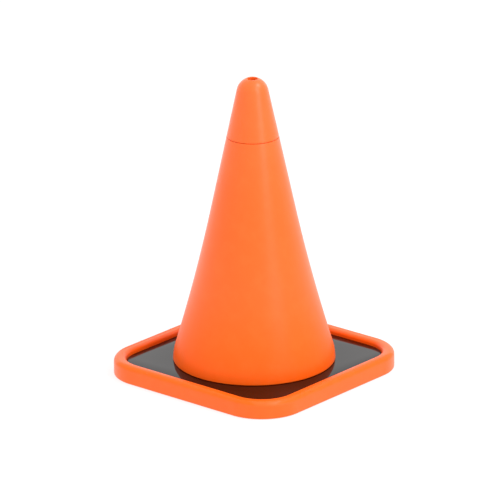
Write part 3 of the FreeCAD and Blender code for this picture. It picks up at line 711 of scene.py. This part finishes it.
class CONE_OT_add_shell(bpy.types.Operator):
    """Adds the hollow cone: collar, foot, flared wall, shoulder and neck"""
    bl_idname = "traffic_cone.add_shell"
    bl_label = "Cone shell"

    def execute(self, context):
        sizes = context.scene.cone_sizes
        profile = Profile(sizes)
        bottom, neck_top = levels("cone_body")
        seat = high("ballast_slab").z
        shoulder = low("top_cap").z - sizes.seam_gap
        flange = seat + sizes.wall
        collar = MOUNTS["nesting_bore"]["dims"]["r_mm"] * MM
        collar_outside = collar + sizes.collar_wall
        neck_out = sizes.cap_wall + sizes.neck_clearance
        neck_in = neck_out + sizes.neck_wall
        neck_foot = shoulder - sizes.neck_wall
        blend = shoulder - sizes.neck_blend
        edge = sizes.seam_round
        outside = profile.whole_wall(seat + 2 * sizes.foot_round, shoulder - 2 * MM)
        inside = profile.whole_wall(flange + 1.5 * sizes.flange_round, blend - 2 * MM, sizes.wall)
        outline = rounded([
            (collar, bottom, edge),
            (collar_outside, bottom, edge),
            (collar_outside, seat),
            (profile.bowed(seat), seat, sizes.foot_round),
            *outside,
            (profile.straight(shoulder), shoulder, edge),
            (profile.straight(shoulder, neck_out), shoulder),
            (profile.straight(neck_top, neck_out), neck_top, 2 * edge),
            (profile.straight(neck_top, neck_in), neck_top, edge),
            (profile.straight(neck_foot, neck_in), neck_foot, 2 * MM),
            (profile.straight(blend, sizes.wall), blend, 2 * MM),
            *reversed(inside),
            (profile.bowed(flange, sizes.wall), flange, sizes.flange_round),
            (collar, flange, edge),
        ], steps=6)
        shell = turned("cone_shell", outline, sizes.steps)
        self.add_bosses(shell, sizes, seat, flange)
        hand_over(shell, "cone_body", "base", "cone_orange")
        return {"FINISHED"}

    def add_bosses(self, shell, sizes, seat, flange):
        """Adds the screw bosses on the foot's flange, and drills them from below."""
        screws = context_fasteners()
        pilot = screws.shank_radius - screws.thread_bite
        top = flange + sizes.boss_height
        sunk = (seat + flange) / 2
        bosses = rods(sizes.boss_radius, sunk, top, places(SCREWS))
        combine(shell, join(bosses, "bosses"), "UNION")
        drills = rods(pilot, seat - MM, top + MM, places(SCREWS), 24)
        combine(shell, join(drills, "drills"), "DIFFERENCE")


class CONE_OT_add_cap(bpy.types.Operator):
    """Adds the domed cap, with its hole and the tube inside it"""
    bl_idname = "traffic_cone.add_cap"
    bl_label = "Top cap"

    def execute(self, context):
        sizes = context.scene.cone_sizes
        profile = Profile(sizes)
        bottom, top = levels("top_cap")
        hole = profile.hole
        tube = hole + sizes.hole_tube_wall
        tube_bottom = top - sizes.hole_tube
        rim = profile.dome_centre + math.sqrt(sizes.dome_radius ** 2 - hole ** 2)
        rim_angle = math.acos((hole + sizes.hole_round * 2) / sizes.dome_radius)
        inner_radius = sizes.dome_radius - sizes.cap_wall
        tube_angle = math.acos(tube / inner_radius)
        lean = sizes.wall_half_angle
        edge = sizes.seam_round
        outside = profile.wall(bottom + 2 * MM, profile.tangent_height - 2 * MM, steps=8)
        inside = profile.wall(bottom + 2 * MM, profile.tangent_height - 3 * MM, sizes.cap_wall, 8)
        outline = rounded([
            (profile.straight(bottom), bottom, edge),
            *outside,
            *profile.dome(lean, rim_angle),
            (hole, rim, sizes.hole_round),
            (hole, tube_bottom, edge),
            (tube, tube_bottom, edge),
            *reversed(profile.dome(lean, tube_angle, sizes.cap_wall, 10)),
            *reversed(inside),
            (profile.straight(bottom, sizes.cap_wall), bottom, edge),
        ], steps=6)
        cap = turned("cap_shell", outline, sizes.steps)
        hand_over(cap, "top_cap", "cap", "cone_orange")
        return {"FINISHED"}


class RoundedSquare:
    """The tray's outline in plan: how far inside it a point lies."""

    def __init__(self, half, corner_radius):
        self.half = half
        self.flat = half - corner_radius
        self.corner_radius = corner_radius

    def depth(self, point):
        over = (max(abs(point.x) - self.flat, 0.0), max(abs(point.y) - self.flat, 0.0))
        return self.corner_radius - math.hypot(*over)

    def edge_at(self, height, inset):
        """A test for the edges at a height that run along the outline, at an inset from it."""
        def wanted(edge):
            return all(abs(v.co.z - height) < TOUCH and abs(self.depth(v.co) - inset) < 5 * TOUCH
                       for v in edge.verts)
        return wanted

    def face_at(self, height, nearest, furthest):
        """A test for the level faces at a height whose middles lie between two insets."""
        def wanted(face):
            middle_point = face.calc_center_median()
            return (abs(middle_point.z - height) < TOUCH and abs(face.normal.z) > 0.9
                    and nearest < self.depth(middle_point) < furthest)
        return wanted


def rounded_plate(name, plan, corner_steps, bottom, top):
    """A plate in the shape of a square with round corners, from a plane that is drawn up."""
    plate = fresh(bpy.ops.mesh.primitive_plane_add, name, size=2 * plan.half,
                  location=(0, 0, bottom))
    with editing(plate):
        to_all(bpy.ops.mesh.bevel, affect="VERTICES", offset=plan.corner_radius,
               segments=corner_steps, profile=0.5, clamp_overlap=False)
        to_all(extrude, move=(0, 0, top - bottom))
        to_all(bpy.ops.mesh.normals_make_consistent, inside=False)
    return plate


class CONE_OT_add_tray(bpy.types.Operator):
    """Adds the square tray: a hollow raised rim round a floor, ribbed underneath"""
    bl_idname = "traffic_cone.add_tray"
    bl_label = "Base tray"

    def execute(self, context):
        sizes = context.scene.tray_sizes
        bottom, top = levels("base_tray")
        floor_top = low("ballast_slab").z
        floor_bottom = floor_top - sizes.floor
        plan = RoundedSquare(high("base_tray").x, sizes.corner_radius)
        tray = rounded_plate("tray_shell", plan, sizes.corner_steps, bottom, top)
        self.sink_panel(tray, plan, sizes, top, floor_top)
        self.hollow_underside(tray, plan, sizes, bottom, top, floor_bottom)
        self.round_edges(tray, plan, sizes, bottom, top)
        self.add_ribs(tray, plan, sizes, bottom, top, floor_bottom)
        self.cut_holes(tray, bottom, floor_top)
        hand_over(tray, "base_tray", "base", "tray_orange")
        return {"FINISHED"}

    def sink_panel(self, tray, plan, sizes, top, floor_top):
        with editing(tray, "FACE"):
            pick(tray, "faces", plan.face_at(top, 0.0, 1.0))
            bpy.ops.mesh.inset(thickness=sizes.rim_width, use_even_offset=True)
            extrude((0, 0, floor_top - top))

    def hollow_underside(self, tray, plan, sizes, bottom, top, floor_bottom):
        channel = sizes.rim_width - 2 * sizes.wall
        with editing(tray, "FACE"):
            pick(tray, "faces", plan.face_at(bottom, 0.0, 1.0))
            for width in (sizes.wall, channel, sizes.wall):
                bpy.ops.mesh.inset(thickness=width, use_even_offset=True)
            extrude((0, 0, floor_bottom - bottom))
            pick(tray, "faces", plan.face_at(bottom, sizes.wall, sizes.wall + channel))
            extrude((0, 0, top - sizes.wall - bottom))

    def round_edges(self, tray, plan, sizes, bottom, top):
        lip = 0.4 * MM
        edges = [(top, 0.0, sizes.rim_outer_round, 9),
                 (top, sizes.rim_width, sizes.rim_inner_round, 5),
                 (bottom, 0.0, sizes.rim_lower_round, 4),
                 (bottom, sizes.wall, lip, 2),
                 (bottom, sizes.rim_width, lip, 2)]
        with editing(tray, "EDGE"):
            for height, inset, radius, segments in edges:
                round_off(tray, plan.edge_at(height, inset), radius, segments)

    def add_ribs(self, tray, plan, sizes, bottom, top, floor_bottom):
        """Adds ribs under the floor, webs in the hollow rim and a low wall round each foot."""
        half_rib = sizes.rib_thickness / 2
        rib_bottom = floor_bottom - sizes.rib_depth
        sunk = floor_bottom + sizes.floor / 2
        web_bottom = bottom + sizes.web_recess
        web_top = top - sizes.wall / 2
        near = plan.half - sizes.rim_width + sizes.wall / 2
        far = plan.half - sizes.wall / 2
        ring_edge = high("retaining_ring").x + sizes.rib_ring_gap
        to_corner = plan.flat * math.sqrt(2) + plan.corner_radius
        ribs = []
        webs = []
        for side in range(4):
            turn = side * math.pi / 2
            for line in (-1, 0, 1):
                offset = line * sizes.rib_spacing
                start = math.sqrt(ring_edge ** 2 - offset ** 2)
                ribs.append(block("rib", (start, offset - half_rib, rib_bottom),
                                  (near, offset + half_rib, sunk), turn))
                webs.append(block("web", (near, offset - half_rib, web_bottom),
                                  (far, offset + half_rib, web_top), turn))
            webs.append(block("corner_web",
                              (to_corner - sizes.rim_width + sizes.wall / 2, -half_rib, web_bottom),
                              (to_corner - sizes.wall / 2, half_rib, web_top),
                              turn + math.pi / 4))
        combine(tray, join(ribs, "ribs"), "UNION")
        combine(tray, join(webs, "webs"), "UNION")
        foot_radius = (high("foot_1").x - low("foot_1").x) / 2
        inner = foot_radius + sizes.seat_gap
        outer = inner + sizes.seat_wall
        wall = rounded([(inner, rib_bottom, SOFT_EDGE), (outer, rib_bottom, SOFT_EDGE),
                        (outer, sunk), (inner, sunk)], 3)
        seats = [turned("seat", wall, 48, place) for place in places(FEET)]
        combine(tray, join(seats, "seats"), "UNION")

    def cut_holes(self, tray, bottom, floor_top):
        screws = context_fasteners()
        end = floor_top + MM
        tools = shared_holes(bottom, end)
        tools += rods(screws.plug_radius + screws.plug_gap, bottom, end, places(FEET))
        combine(tray, join(tools, "holes"), "DIFFERENCE")


class CONE_OT_add_slab(bpy.types.Operator):
    """Adds the glossy ballast slab that lies in the tray"""
    bl_idname = "traffic_cone.add_slab"
    bl_label = "Ballast slab"

    def execute(self, context):
        sizes = context.scene.tray_sizes
        screws = context_fasteners()
        bottom, top = levels("ballast_slab")
        half = high("ballast_slab").x
        plan = RoundedSquare(half, sizes.corner_radius - (high("base_tray").x - half))
        slab = rounded_plate("slab_panel", plan, sizes.corner_steps, bottom, top)
        with editing(slab, "EDGE"):
            round_off(slab, plan.edge_at(top, 0.0), sizes.slab_edge_round, 5)
            round_off(slab, plan.edge_at(bottom, 0.0), SOFT_EDGE, 2)
        tools = shared_holes(bottom - MM, top + MM)
        tools += rods(screws.barb_radius + screws.barb_gap, bottom - MM,
                      bottom + screws.barb_height + screws.barb_gap, places(FEET))
        combine(slab, join(tools, "holes"), "DIFFERENCE")
        hand_over(slab, "ballast_slab", "base", "slab_black")
        return {"FINISHED"}


class CONE_OT_add_ring(bpy.types.Operator):
    """Adds the retaining ring under the tray, with its countersunk holes"""
    bl_idname = "traffic_cone.add_ring"
    bl_label = "Retaining ring"

    def execute(self, context):
        screws = context_fasteners()
        bottom, top = levels("retaining_ring")
        outer = high("retaining_ring").x
        ring = turned("clamp_ring", rounded([
            (collar_hole(), bottom, SOFT_EDGE), (outer, bottom, 0.5 * MM),
            (outer, top, FINE_EDGE), (collar_hole(), top, FINE_EDGE)], 3), COLLAR_STEPS)
        mouth = screws.head_radius + screws.head_gap
        depth = mouth - screws.screw_hole
        under = 0.5 * MM
        tools = []
        for place in places(SCREWS):
            sink = fresh(bpy.ops.mesh.primitive_cone_add, "sink", vertices=48,
                         radius1=mouth + under, radius2=screws.screw_hole, depth=depth + under,
                         location=(*place, bottom + (depth - under) / 2))
            tools.append(sink)
            tools += rods(screws.screw_hole, bottom + depth / 2, top + MM, [place], 48)
        combine(ring, join(tools, "sinks"), "DIFFERENCE")
        hand_over(ring, "retaining_ring", "base", "ring_black")
        return {"FINISHED"}


class CONE_OT_add_screws(bpy.types.Operator):
    """Adds the countersunk screws that hold ring, tray, slab and cone together"""
    bl_idname = "traffic_cone.add_screws"
    bl_label = "Screws"

    def execute(self, context):
        screws = context_fasteners()
        bottom, top = levels(SCREWS[0])
        head = screws.head_radius
        core = screws.core_radius
        neck = bottom + head - screws.shank_radius
        shank = neck + 1.2 * MM
        start = neck + 1.6 * MM
        taper = top - 1.8 * MM
        outline = rounded([
            (0.0, bottom), (head, bottom, 0.05 * MM), (screws.shank_radius, neck, FINE_EDGE),
            (screws.shank_radius, shank, 0.1 * MM), (core, start, 0.1 * MM),
            (core, taper, FINE_EDGE), (0.3 * MM, top - 0.1 * MM, 0.05 * MM), (0.0, top),
        ], 3)
        pattern = turned("csk_screw", outline, 32)
        combine(pattern, self.thread(screws, start + FINE_EDGE, taper + FINE_EDGE), "UNION")
        self.cut_recess(pattern, bottom)
        set_out(pattern, SCREWS, "csk_screw", "screw_zinc")
        return {"FINISHED"}

    def thread(self, screws, bottom, top):
        """A sharp ridge that climbs round the core, with its foot a little inside it."""
        core = screws.core_radius - 0.1 * MM
        crest = screws.shank_radius
        half = 0.28 * MM
        start = (core, 0, bottom)
        ridge = fresh(bpy.ops.mesh.primitive_plane_add, "thread", size=MM, location=start)
        turns = (top - bottom - 2 * half) / screws.thread_pitch
        with editing(ridge):
            to_all(bpy.ops.mesh.merge, type="CENTER")
            for move in ((crest - core, 0, half), (core - crest, 0, half)):
                extrude(move)
            to_all(bpy.ops.mesh.edge_face_add)
            bpy.ops.mesh.select_all(action="SELECT")
        screw = ridge.modifiers.new("helix", "SCREW")
        screw.angle = 2 * math.pi * turns
        screw.screw_offset = screws.thread_pitch * turns
        screw.steps = round(24 * turns)
        screw.render_steps = screw.steps
        screw.axis = "Z"
        bpy.ops.object.modifier_apply(modifier=screw.name)
        with editing(ridge):
            to_all(bpy.ops.mesh.remove_doubles, threshold=TOUCH / 10)
            to_all(bpy.ops.mesh.fill_holes, sides=4)
            to_all(bpy.ops.mesh.normals_make_consistent, inside=False)
        return ridge

    def cut_recess(self, screw, bottom):
        screws = context_fasteners()
        far = screws.recess_span / 2
        side = screws.recess_width / 2
        top = bottom + screws.recess_depth
        for turn in (0.0, math.pi / 2):
            slot = block("slot", (-far, -side, bottom - MM), (far, side, top), turn)
            combine(screw, slot, "DIFFERENCE")


class CONE_OT_add_feet(bpy.types.Operator):
    """Adds the rubber feet, each with a barbed plug through the tray's floor"""
    bl_idname = "traffic_cone.add_feet"
    bl_label = "Rubber feet"

    def execute(self, context):
        screws = context_fasteners()
        radius = (high(FEET[0]).x - low(FEET[0]).x) / 2
        top = high(FEET[0]).z
        barb = top - screws.barb_height
        barb_tip = 2.4 * MM
        dish = 0.5 * MM
        floor_bottom = barb - context.scene.tray_sizes.floor
        outline = rounded([
            (0.0, dish), (radius * 0.30, dish, FINE_EDGE), (radius * 0.36, 0.0, FINE_EDGE),
            (radius, 0.0, 0.6 * MM), (radius, floor_bottom, SOFT_EDGE),
            (screws.plug_radius, floor_bottom, FINE_EDGE), (screws.plug_radius, barb),
            (screws.barb_radius, barb, FINE_EDGE), (barb_tip, top, SOFT_EDGE), (0.0, top),
        ], 4)
        pattern = turned("rubber_foot", outline, 64)
        set_out(pattern, FEET, "rubber_foot", "foot_rubber")
        return {"FINISHED"}


# ---- The stage ----


def direction(azimuth, elevation):
    """Unit vector from the cone to a place. Azimuth 0 is in front, and 90 degrees on the right."""
    level = math.cos(elevation)
    return Vector((math.sin(azimuth) * level, -math.cos(azimuth) * level, math.sin(elevation)))


class CONE_OT_set_stage(bpy.types.Operator):
    """Adds the camera, the pale floor and the soft light"""
    bl_idname = "traffic_cone.set_stage"
    bl_label = "Stage"

    def execute(self, context):
        stage = context.scene.cone_stage
        self.add_camera(context, stage)
        self.add_floor(stage)
        self.add_light(context, stage)
        return {"FINISHED"}

    def add_camera(self, context, stage):
        back = direction(stage.azimuth, stage.elevation)
        facing = back.to_track_quat("Z", "Y").to_matrix()
        facing = facing @ Matrix.Rotation(-stage.roll, 3, "Z")
        offset = Vector((-stage.aim_side, stage.aim_up, stage.distance))
        lens = bpy.data.cameras.new("camera")
        lens.lens = stage.lens
        lens.sensor_width = 36.0
        lens.clip_start = 0.05
        lens.clip_end = 200.0
        camera = bpy.data.objects.new("camera", lens)
        camera.matrix_world = Matrix.Translation(facing @ offset) @ facing.to_4x4()
        context.scene.collection.objects.link(camera)
        context.scene.camera = camera

    def add_floor(self, stage):
        floor = fresh(bpy.ops.mesh.primitive_plane_add, "floor", size=stage.floor_size)
        floor.data.materials.append(studio_floor())

    def add_light(self, context, stage):
        world = bpy.data.worlds.new("surroundings")
        world.use_nodes = True
        background = world.node_tree.nodes["Background"]
        background.inputs["Color"].default_value = (1.0, 1.0, 1.0, 1.0)
        background.inputs["Strength"].default_value = stage.sky
        context.scene.world = world
        context.scene.view_settings.view_transform = "Standard"
        for name, watts, aside, height, size in (
                ("key", stage.key, 42, 30, (0.45, 1.4)),
                ("top_light", stage.top_light, 80, 58, (0.3, 0.3))):
            back = direction(stage.azimuth + math.radians(aside), math.radians(height))
            self.add_panel_light(context, name, watts, back, size)

    def add_panel_light(self, context, name, watts, back, size):
        """A soft rectangular light that points at the middle of the cone."""
        distance = 1.5
        light = bpy.data.lights.new(name, "AREA")
        light.shape = "RECTANGLE"
        light.size, light.size_y = size
        light.energy = watts
        lamp = bpy.data.objects.new(name, light)
        centre = (CAD_BOX[0] + CAD_BOX[1]) / 2
        lamp.matrix_world = (Matrix.Translation(centre + back * distance)
                             @ back.to_track_quat("Z", "Y").to_matrix().to_4x4())
        context.scene.collection.objects.link(lamp)


OPERATORS = (CONE_OT_add_shell, CONE_OT_add_cap, CONE_OT_add_tray, CONE_OT_add_slab,
             CONE_OT_add_ring, CONE_OT_add_screws, CONE_OT_add_feet, CONE_OT_set_stage)
GROUPS = {"cone_sizes": ConeSizes, "tray_sizes": TraySizes, "cone_fasteners": FastenerSizes,
          "cone_finishes": Finishes, "cone_stage": StageSettings}


class CONE_PT_panel(bpy.types.Panel):
    """Lists the sizes and the pieces"""
    bl_idname = "CONE_PT_panel"
    bl_label = "Traffic cone"
    bl_space_type = "VIEW_3D"
    bl_region_type = "UI"
    bl_category = "Traffic cone"

    def draw(self, context):
        for group in GROUPS:
            settings = getattr(context.scene, group)
            for name in settings.bl_rna.properties.keys():
                if name not in {"rna_type", "name"}:
                    self.layout.prop(settings, name)
        for operator in OPERATORS:
            self.layout.operator(operator.bl_idname)


def register():
    for group in GROUPS.values():
        bpy.utils.register_class(group)
    for name, group in GROUPS.items():
        setattr(bpy.types.Scene, name, PointerProperty(type=group))
    for operator in OPERATORS:
        bpy.utils.register_class(operator)
    bpy.utils.register_class(CONE_PT_panel)


def unregister():
    bpy.utils.unregister_class(CONE_PT_panel)
    for operator in reversed(OPERATORS):
        bpy.utils.unregister_class(operator)
    for name in GROUPS:
        delattr(bpy.types.Scene, name)
    for group in reversed(list(GROUPS.values())):
        bpy.utils.unregister_class(group)


def main():
    register()
    bpy.ops.traffic_cone.set_stage()
    bpy.ops.traffic_cone.add_shell()
    bpy.ops.traffic_cone.add_cap()
    bpy.ops.traffic_cone.add_tray()
    bpy.ops.traffic_cone.add_slab()
    bpy.ops.traffic_cone.add_ring()
    bpy.ops.traffic_cone.add_screws()
    bpy.ops.traffic_cone.add_feet()


if __name__ == "__main__":
    main()
